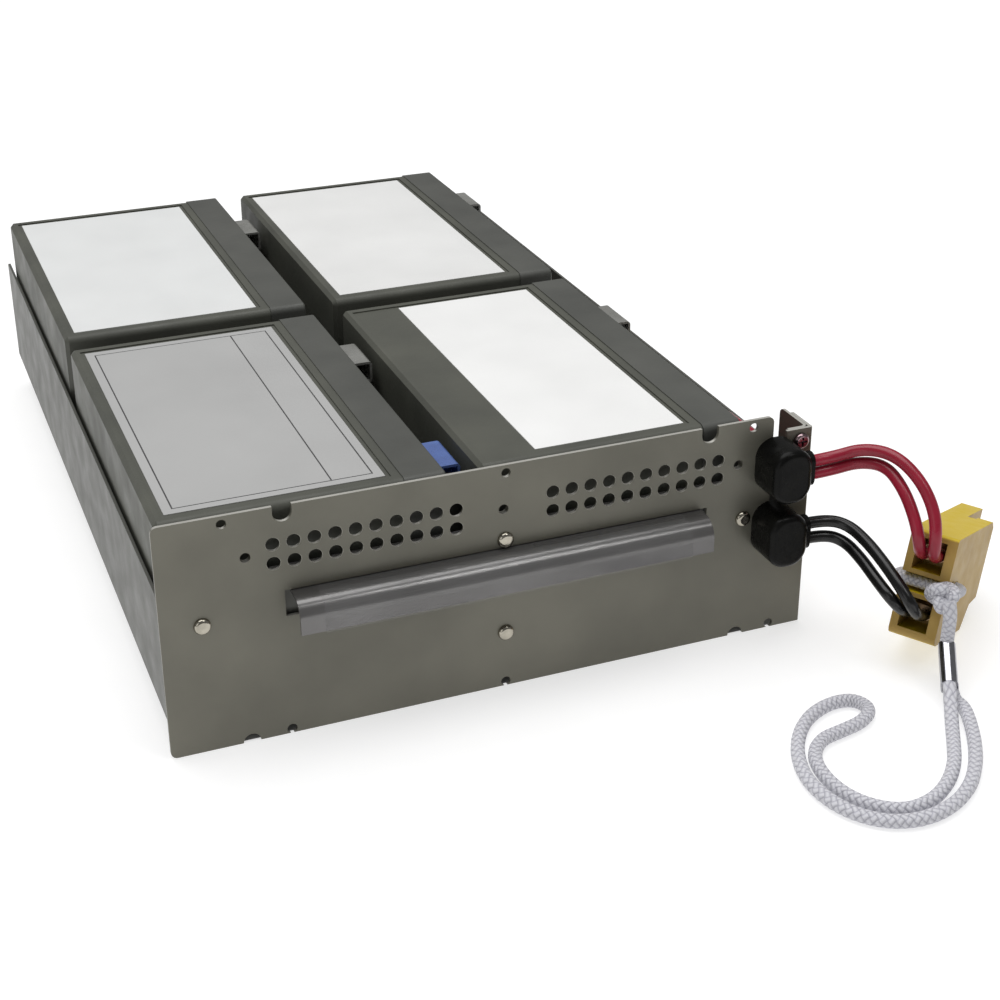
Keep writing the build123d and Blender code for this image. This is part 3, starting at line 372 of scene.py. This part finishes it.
# Painted light: the connector's faces that look up or down turn yellow, its upright sides stay tan.
paint_top_light(connector_plastic, (0.58, 0.42, 0.012), low=0.45, high=0.8)
sleeve_grey = finish("sleeve_grey", (0.33, 0.33, 0.31), (0.24, 0.24, 0.22), rough=(0.2, 0.34), mottle=120.0,
                     coat=0.3)
sleeve_blue = finish("sleeve_blue", (0.13, 0.22, 0.56), (0.1, 0.16, 0.42), rough=(0.22, 0.34), mottle=120.0,
                     coat=0.3)
for sleeve in (sleeve_grey, sleeve_blue):
    sleeve.node_tree.nodes["Principled BSDF"].inputs["Transmission Weight"].default_value = 0.25
film_clear = finish("film_clear", (0.35, 0.35, 0.35), (0.3, 0.3, 0.3), rough=(0.08, 0.16), mottle=50.0,
                    height=0.000005)
film_clear.node_tree.nodes["Principled BSDF"].inputs["Alpha"].default_value = 0.08
print("finishes", len(bpy.data.materials))

# %% [markdown]
# A mask is found by comparing a place on the surface with a few lengths, so no picture is needed.
# The first one shades the table behind the panel's foot notches, while the rest of the table glows
# a little and so stays white right up to the cartridge.

# %% Masks by place, and the table
TABLE_GLOW = 0.6
SHADE_INSET = 0.006
SHADE_DEPTH = 0.03


def combine(tree, operation, first, second):
    """Join two sockets or numbers by a calculation, held between zero and one."""
    node = tree.nodes.new("ShaderNodeMath")
    node.operation = operation
    node.use_clamp = True
    for socket, value in zip(node.inputs, (first, second)):
        if isinstance(value, float):
            socket.default_value = value
        else:
            tree.links.new(value, socket)
    return node.outputs[0]


def surface_place(tree):
    """A node whose X, Y and Z outputs tell the place on the object."""
    spot = tree.nodes.new("ShaderNodeTexCoord")
    split = tree.nodes.new("ShaderNodeSeparateXYZ")
    tree.links.new(spot.outputs["Object"], split.inputs["Vector"])
    return split


def band(tree, value, low, high):
    """One where a value lies between two lengths, else zero."""
    above = combine(tree, "GREATER_THAN", value, low)
    below = combine(tree, "LESS_THAN", value, high)
    return combine(tree, "MULTIPLY", above, below)


def rectangle(tree, split, across, along):
    """One inside a rectangle, given as its two X and its two Y limits."""
    return combine(tree, "MULTIPLY", band(tree, split.outputs["X"], *across),
                   band(tree, split.outputs["Y"], *along))


white_table = finish("white_table", (0.5, 0.5, 0.5), (0.48, 0.48, 0.48), rough=(0.8, 0.9), height=0.00001)
table_tree = white_table.node_tree
table_shader = table_tree.nodes["Principled BSDF"]
tray_low, tray_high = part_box("tray")
shade = rectangle(table_tree, surface_place(table_tree),
                  (tray_low[0] + SHADE_INSET, tray_high[0] - SHADE_INSET),
                  (tray_low[1], tray_low[1] + SHADE_DEPTH))
glow = blend(table_tree, shade, (1.0, 1.0, 1.0), (0.0, 0.0, 0.0))
table_tree.links.new(glow, table_shader.inputs["Emission Color"])
table_shader.inputs["Emission Strength"].default_value = TABLE_GLOW
floor.data.materials.append(white_table)
print("floor finish", white_table.name)

# %% [markdown]
# The labels are plain sheets. Only the front left one is printed, and its print is only a thin frame and a
# column line.

# %% Label paper with a printed frame
PAPER_SHADE = 0.93
INK = (0.05, 0.05, 0.05)
LINE_WIDTH = 0.0005
FRAME_INSET = 0.003
COLUMN_X = 60.5


def label_paper(name, paper):
    """Paper in one tone."""
    shaded = tuple(PAPER_SHADE * value for value in paper)
    return finish(name, paper, shaded, rough=(0.45, 0.6), mottle=18.0, height=0.00002)


def print_frame(material, node_name, column):
    """Print a thin frame, inset from the sheet's edge, and one column line."""
    tree = material.node_tree
    split = surface_place(tree)
    low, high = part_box(node_name)
    x0, x1 = low[0] + FRAME_INSET, high[0] - FRAME_INSET
    y0, y1 = low[1] + FRAME_INSET, high[1] - FRAME_INSET
    outer = rectangle(tree, split, (x0, x1), (y0, y1))
    inner = rectangle(tree, split, (x0 + LINE_WIDTH, x1 - LINE_WIDTH), (y0 + LINE_WIDTH, y1 - LINE_WIDTH))
    stripe = rectangle(tree, split, (column, column + LINE_WIDTH), (y0, y1))
    frame_lines = combine(tree, "SUBTRACT", outer, inner)
    overlay(material, combine(tree, "ADD", frame_lines, stripe), INK)


label_finishes = {
    "label_front_left": label_paper("label_framed", (0.43, 0.43, 0.425)),
    "label_back_left": label_paper("label_back_left_paper", (0.77, 0.78, 0.775)),
    "label_front_right": label_paper("label_white", (0.88, 0.88, 0.87)),
    "label_back_right": label_paper("label_back_right_paper", (0.8, 0.8, 0.79)),
}
print_frame(label_finishes["label_front_left"], "label_front_left", place(COLUMN_X, 0, 0).x)
print("labels", sorted(label_finishes))

# %% [markdown]
# Every CAD piece takes its finish by name. A prefix is enough, because alike pieces share one.

# %% Dress the CAD pieces
FINISH_OF = (
    ("front_panel", panel_paint), ("corner_bracket", panel_paint), ("tray", tray_zinc),
    ("pull_handle", handle_steel), ("handle_film", film_clear), ("bracket_screw", screw_steel),
    ("panel_rivets", rivet_steel), ("floor_pad", pad_foam), ("battery_case", jar_plastic),
    ("battery_lid", lid_plastic), ("valve_cover", lid_plastic), ("terminal_tabs", tab_tin),
    ("sleeve_front_left_front", sleeve_blue), ("sleeve_", sleeve_grey), ("red_", red_jacket),
    ("black_", black_jacket), ("jumper_", black_jacket), ("upper_boot", boot_rubber),
    ("lower_boot", boot_rubber), ("connector_shell", connector_plastic),
    ("connector_contacts", contact_copper), ("lanyard_crimp", chrome),
)


def dress(name, piece):
    """Give a CAD piece the first finish whose prefix fits its name."""
    material = label_finishes.get(name)
    for prefix, candidate in FINISH_OF:
        if material is None and name.startswith(prefix):
            material = candidate
    if material is not None:
        piece.data.materials.clear()
        piece.data.materials.append(material)
    return material is not None


print("dressed", sum(dress(name, piece) for name, piece in nodes.items()), "of", len(nodes))

# %% [markdown]
# A free cable is one smooth curve. The route's points are the control points of a NURBS spline of
# order 3, which stays inside their corners like a real cable, and a round bevel gives the jacket.

# %% Free cables


def route(name, points, radius, cyclic=False):
    """A smooth round cord along control points in millimetres."""
    curve = bpy.data.curves.new(name, "CURVE")
    curve.dimensions = "3D"
    curve.resolution_u = 8
    curve.bevel_resolution = 5
    curve.bevel_depth = radius / 1000
    curve.use_fill_caps = not cyclic
    spline = curve.splines.new("NURBS")
    spline.points.add(len(points) - 1)
    for control, point in zip(spline.points, points):
        control.co = (*place(*point), 1)
    spline.order_u = 3
    spline.use_endpoint_u = not cyclic
    spline.use_cyclic_u = cyclic
    return link(bpy.data.objects.new(name, curve))


CABLE_RADIUS = 2.1
CABLE_ROUTES = {
    "red_cable_outer": (
        (222.0, -8.0, 67.6), (230.5, -8.0, 67.6), (239.3, -13.0, 71.6), (245.2, -22.6, 72.4),
        (248.8, -33.0, 67.2), (250.0, -41.0, 58.8), (248.8, -44.8, 49.6), (250.76, -41.43, 40.77),
        (257.94, -35.96, 38.14),
    ),
    "red_cable_inner": (
        (222.0, -8.0, 62.8), (230.0, -8.0, 62.8), (238.6, -11.6, 66.0), (244.2, -19.6, 67.2),
        (245.2, -29.4, 62.6), (245.2, -37.0, 55.4), (245.0, -41.0, 48.8), (248.79, -37.16, 40.72),
        (255.2, -32.27, 38.37),
    ),
    "black_cable_outer": (
        (222.0, -8.0, 43.9), (229.8, -8.0, 43.9), (235.9, -12.8, 43.0), (237.9, -22.5, 40.4),
        (238.9, -32.5, 36.5), (239.6, -41.0, 32.4), (240.8, -46.2, 28.0), (246.26, -43.54, 20.55),
        (252.67, -38.65, 18.2),
    ),
    "black_cable_inner": (
        (222.0, -8.0, 38.1), (229.6, -8.0, 38.1), (234.8, -12.8, 37.0), (236.0, -22.0, 34.4),
        (236.2, -31.5, 31.2), (236.6, -41.0, 28.2), (243.53, -39.84, 20.77), (249.94, -34.96, 18.42),
    ),
}

for name, points in CABLE_ROUTES.items():
    cable = route(f"{name}_jacket", points, CABLE_RADIUS)
    cable.data.materials.append(red_jacket if name.startswith("red") else black_jacket)
    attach(cable, "root")
    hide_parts(name)
print("cables", len(CABLE_ROUTES))

# %% [markdown]
# The lanyard is a round plait. Its strands cross in two slanting families, so the bump takes one
# family or the other in a checkerboard of slanted cells. The pattern follows the cord's own UV map,
# which runs along it and round it.

# %% Plaited cord finish


def plait(name, along, around, light=(0.66, 0.66, 0.70), dark=(0.36, 0.355, 0.42)):
    """White plait with a number of strand crossings along and round the cord, and painted lavender shade in
    the grooves between strands.
    """
    material = bpy.data.materials.new(name)
    material.use_nodes = True
    tree = material.node_tree
    shader = tree.nodes["Principled BSDF"]
    shader.inputs["Roughness"].default_value = 0.75
    shader.inputs["Sheen Weight"].default_value = 0.3
    shader.inputs["Specular IOR Level"].default_value = 0.25
    uv = tree.nodes.new("ShaderNodeUVMap")
    uv.uv_map = "UVMap"
    split = tree.nodes.new("ShaderNodeSeparateXYZ")
    tree.links.new(uv.outputs["UV"], split.inputs["Vector"])

    def math_node(operation, first, second=None):
        node = tree.nodes.new("ShaderNodeMath")
        node.operation = operation
        for socket, value in zip(node.inputs, (first, second)):
            if isinstance(value, (int, float)):
                socket.default_value = value
            elif value is not None:
                tree.links.new(value, socket)
        return node.outputs[0]

    run = math_node("MULTIPLY", split.outputs["X"], along)
    ring = math_node("MULTIPLY", split.outputs["Y"], around)
    first = math_node("ADD", run, ring)
    second = math_node("SUBTRACT", run, ring)
    ridge_a = math_node("ABSOLUTE", math_node("SINE", math_node("MULTIPLY", first, math.pi)))
    ridge_b = math_node("ABSOLUTE", math_node("SINE", math_node("MULTIPLY", second, math.pi)))
    cell = math_node("ADD", math_node("FLOOR", first), math_node("FLOOR", second))
    choice = math_node("MODULO", math_node("ABSOLUTE", cell), 2.0)
    height = tree.nodes.new("ShaderNodeMix")
    tree.links.new(choice, height.inputs["Factor"])
    tree.links.new(ridge_a, height.inputs["A"])
    tree.links.new(ridge_b, height.inputs["B"])
    depth = math_node("POWER", height.outputs["Result"], 0.6)
    # Painted shade: the colour falls to the lavender dark tone in the grooves between strands.
    tree.links.new(blend(tree, depth, dark, light), shader.inputs["Base Color"])
    bump = tree.nodes.new("ShaderNodeBump")
    bump.inputs["Distance"].default_value = 0.0004
    bump.inputs["Strength"].default_value = 0.9
    tree.links.new(height.outputs["Result"], bump.inputs["Height"])
    tree.links.new(bump.outputs["Normal"], shader.inputs["Normal"])
    return material


CROSSING_PITCH = 2.6
CROSSINGS_ROUND = 5
CORD_LENGTH = 353.8
KNOT_CROSSINGS = 30
NECK_CROSSINGS = 8
cord_plait = plait("cord_plait", CORD_LENGTH / CROSSING_PITCH, CROSSINGS_ROUND)
knot_plait = plait("knot_plait", KNOT_CROSSINGS, CROSSINGS_ROUND)
neck_plait = plait("neck_plait", NECK_CROSSINGS, CROSSINGS_ROUND)
print("plait crossings along the cord", round(CORD_LENGTH / CROSSING_PITCH))

# %% [markdown]
# The cord is made as a curve first and turned into a mesh, which gives it the UV map.

# %% Lanyard
CORD_RADIUS = 2.25
LANYARD_ROUTE = (
    (252.68, -51.98, 11.04), (245.79, -65.29, 2.4), (247.0, -71.6, 2.35), (243.0, -80.8, 2.35),
    (237.8, -90.4, 2.35), (231.4, -99.8, 2.35), (223.6, -108.2, 2.35), (213.6, -114.4, 2.35),
    (202.4, -117.0, 2.35), (191.8, -115.0, 2.35), (184.0, -108.4, 2.35), (179.6, -99.0, 2.35),
    (178.6, -87.6, 2.35), (181.8, -76.2, 2.35), (188.0, -65.8, 2.35), (196.8, -57.4, 2.35),
    (207.4, -53.2, 2.35), (215.8, -54.2, 2.35), (218.2, -61.2, 2.35), (211.8, -66.4, 2.35),
    (202.6, -68.4, 2.35), (193.8, -70.0, 2.35), (187.2, -76.6, 2.35), (184.6, -86.0, 2.35),
    (185.2, -96.2, 2.35), (189.4, -105.2, 2.35), (197.4, -111.2, 2.35), (207.6, -110.6, 2.35),
    (217.2, -105.2, 2.35), (225.4, -97.2, 2.35), (231.2, -88.4, 2.35), (236.6, -79.6, 2.35),
    (243.9, -67.18, 6.16), (250.92, -53.62, 14.96),
)


def evaluated_mesh(piece, name):
    """The mesh that a curve or modifier makes; the piece itself is removed."""
    view = bpy.context.evaluated_depsgraph_get()
    mesh = bpy.data.meshes.new_from_object(piece.evaluated_get(view))
    mesh.name = name
    bpy.data.objects.remove(piece)
    return mesh


def as_mesh(curve_piece, name):
    """A curve turned into a smooth mesh piece."""
    mesh = evaluated_mesh(curve_piece, name)
    for polygon in mesh.polygons:
        polygon.use_smooth = True
    return link(bpy.data.objects.new(name, mesh))


def centre_line(points):
    """Points along the smooth line of a route."""
    line = evaluated_mesh(route("bare_line", points, 0.0), "bare_line")
    return [tuple(vertex.co) for vertex in line.vertices]


lanyard_line = centre_line(LANYARD_ROUTE)
lanyard = as_mesh(route("lanyard_curve", LANYARD_ROUTE, CORD_RADIUS), "lanyard_plait")
lanyard.data.materials.clear()
lanyard.data.materials.append(cord_plait)
print("lanyard line points", len(lanyard_line))

# %% [markdown]
# Above the crimp the doubled cord goes up to a knot, and one end crosses the valley in the
# connector's back and its through hole. The knot is drawn as a tight trefoil, which shows the same
# crossing strands as a pulled overhand knot.

# %% Knot and tie
CONNECTOR_PLACE = Vector((249.9, -39.0, 29.2))
CONNECTOR_AHEAD = Vector((0.764, 0.582, -0.280))
CONNECTOR_FAR = Vector((-0.594, 0.803, 0.049))
CONNECTOR_ABOVE = Vector((0.253, 0.129, 0.959))
KNOT_PLACE = (-4.0, -7.9, 0.1)
KNOT_SIZE = 1.32
KNOT_DEPTH = 1.9
KNOT_STRAND_RADIUS = 2.15
TIE_STRAND_RADIUS = 2.1
TIE_HEIGHT = 0.6


def on_connector(x, y, z):
    """A point in the connector's own axes, as millimetres from the panel's corner."""
    return CONNECTOR_PLACE + CONNECTOR_AHEAD * x + CONNECTOR_FAR * y + CONNECTOR_ABOVE * z


def knot_points(count=24):
    """Control points of a trefoil round the knot's middle."""
    middle = on_connector(*KNOT_PLACE)
    points = []
    for step in range(count):
        angle = 2 * math.pi * step / count
        across = KNOT_SIZE * (math.sin(angle) + 2 * math.sin(2 * angle))
        rise = KNOT_SIZE * (math.cos(angle) - 2 * math.cos(2 * angle))
        depth = -KNOT_DEPTH * KNOT_SIZE * math.sin(3 * angle)
        points.append(middle + right * across + up * rise + ahead * depth)
    return points


TIE_ROUTE = [on_connector(x, y, TIE_HEIGHT) for x, y in (
    (-3.5, -8.0), (3.25, -4.5), (3.25, 3.0), (3.25, 10.45), (10.2, 10.45),
    (10.2, 0.0), (10.2, -10.45), (5.6, -10.45), (1.0, -10.45), (-3.5, -9.5),
)]
NECK_STRANDS = (
    ((250.2, -52.6, 31.0), (250.6, -54.4, 27.0), (250.9, -53.7, 20.5), (250.9, -53.5, 15.5),
     (250.6, -54.2, 14.4)),
    ((252.0, -50.6, 30.6), (252.8, -51.6, 26.0), (252.7, -51.4, 19.0), (252.6, -51.6, 12.5),
     (252.2, -52.9, 10.6)),
)

loops = as_mesh(route("knot_curve", knot_points(), KNOT_STRAND_RADIUS, cyclic=True), "knot_loops")
tie = as_mesh(route("tie_curve", TIE_ROUTE, TIE_STRAND_RADIUS), "knot_tie")
necks = [as_mesh(route("neck_curve", strand, CORD_RADIUS), "knot_neck") for strand in NECK_STRANDS]
knot_parts = [loops, tie, *necks]
for part in knot_parts:
    part.data.materials.clear()
    part.data.materials.append(neck_plait if part in necks else knot_plait)
with bpy.context.temp_override(active_object=loops, selected_editable_objects=knot_parts):
    bpy.ops.object.join()
knot = loops
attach(knot, "root")
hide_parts("lanyard_knot")
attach(lanyard, "root")
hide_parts("lanyard_cord")
print("knot faces", len(knot.data.polygons))

# %% [markdown]
# Each punched vent gets a thin ring on its edge, lighter than the panel: a painted highlight where
# the edge catches the light. All forty rims are alike, so Geometry Nodes place one ring on a grid of
# points, once for each group of vents.

# %% Vent rims by Geometry Nodes
VENT_COLUMNS = 10
VENT_ROWS = 2
VENT_PITCH = 6.7
VENT_RADIUS = 2.4
VENT_GROUPS = (67.2, 161.0)
VENT_HEIGHT = 66.4
RIM_WIRE = 0.18
RIM_PLACE_Y = 0.25
QUARTER_TURN = math.pi / 2


def rim_tree():
    """Rings on a grid of points, with named sizes."""
    tree = bpy.data.node_groups.new("ring_grid", "GeometryNodeTree")
    sockets = (
        ("Columns", "NodeSocketInt"), ("Rows", "NodeSocketInt"), ("Width", "NodeSocketFloat"),
        ("Height", "NodeSocketFloat"), ("Ring Radius", "NodeSocketFloat"),
        ("Wire Radius", "NodeSocketFloat"), ("Material", "NodeSocketMaterial"),
    )
    for label, kind in sockets:
        tree.interface.new_socket(label, in_out="INPUT", socket_type=kind)
    tree.interface.new_socket("Geometry", in_out="OUTPUT", socket_type="NodeSocketGeometry")
    start = tree.nodes.new("NodeGroupInput")
    end = tree.nodes.new("NodeGroupOutput")
    grid = tree.nodes.new("GeometryNodeMeshGrid")
    stand = tree.nodes.new("GeometryNodeTransform")
    stand.inputs["Rotation"].default_value = (QUARTER_TURN, 0, 0)
    ring = tree.nodes.new("GeometryNodeCurvePrimitiveCircle")
    ring.inputs["Resolution"].default_value = 24
    wire = tree.nodes.new("GeometryNodeCurvePrimitiveCircle")
    wire.inputs["Resolution"].default_value = 6
    sweep = tree.nodes.new("GeometryNodeCurveToMesh")
    upright = tree.nodes.new("GeometryNodeTransform")
    upright.inputs["Rotation"].default_value = (QUARTER_TURN, 0, 0)
    put = tree.nodes.new("GeometryNodeInstanceOnPoints")
    real = tree.nodes.new("GeometryNodeRealizeInstances")
    paint = tree.nodes.new("GeometryNodeSetMaterial")
    joins = (
        (start, "Columns", grid, "Vertices X"), (start, "Rows", grid, "Vertices Y"),
        (start, "Width", grid, "Size X"), (start, "Height", grid, "Size Y"),
        (grid, "Mesh", stand, "Geometry"), (stand, "Geometry", put, "Points"),
        (start, "Ring Radius", ring, "Radius"), (start, "Wire Radius", wire, "Radius"),
        (ring, "Curve", sweep, "Curve"), (wire, "Curve", sweep, "Profile Curve"),
        (sweep, "Mesh", upright, "Geometry"), (upright, "Geometry", put, "Instance"),
        (put, "Instances", real, "Geometry"), (real, "Geometry", paint, "Geometry"),
        (start, "Material", paint, "Material"), (paint, "Geometry", end, "Geometry"),
    )
    for source, output, target, entry in joins:
        tree.links.new(source.outputs[output], target.inputs[entry])
    return tree


def grown(tree, name, values, move):
    """Run a Geometry Nodes tree on an empty mesh and keep its result as a plain mesh piece."""
    carrier = link(bpy.data.objects.new(f"{name}_carrier", bpy.data.meshes.new(name)))
    modifier = carrier.modifiers.new("grow", "NODES")
    modifier.node_group = tree
    for item in tree.interface.items_tree:
        if item.in_out == "INPUT" and item.name in values:
            modifier[item.identifier] = values[item.name]
    mesh = evaluated_mesh(carrier, name)
    mesh.transform(Matrix.Translation(move))
    return link(bpy.data.objects.new(name, mesh))


# The rims' light metal is a painted highlight on the vents' edges.
vent_rim_highlight = finish("vent_rim_highlight", (0.34, 0.33, 0.29), (0.27, 0.26, 0.23), rough=(0.25, 0.35), metallic=0.6,
                  mottle=300.0)
RIM_TREE = rim_tree()
RIM_VALUES = {
    "Columns": VENT_COLUMNS,
    "Rows": VENT_ROWS,
    "Width": (VENT_COLUMNS - 1) * VENT_PITCH / 1000,
    "Height": (VENT_ROWS - 1) * VENT_PITCH / 1000,
    "Ring Radius": VENT_RADIUS / 1000,
    "Wire Radius": RIM_WIRE / 1000,
    "Material": vent_rim_highlight,
}
for side, middle_x in zip(("left", "right"), VENT_GROUPS):
    rims = grown(RIM_TREE, f"vent_rims_{side}", RIM_VALUES, place(middle_x, RIM_PLACE_Y, VENT_HEIGHT))
    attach(rims, "root")
    print(rims.name, "faces", len(rims.data.polygons))
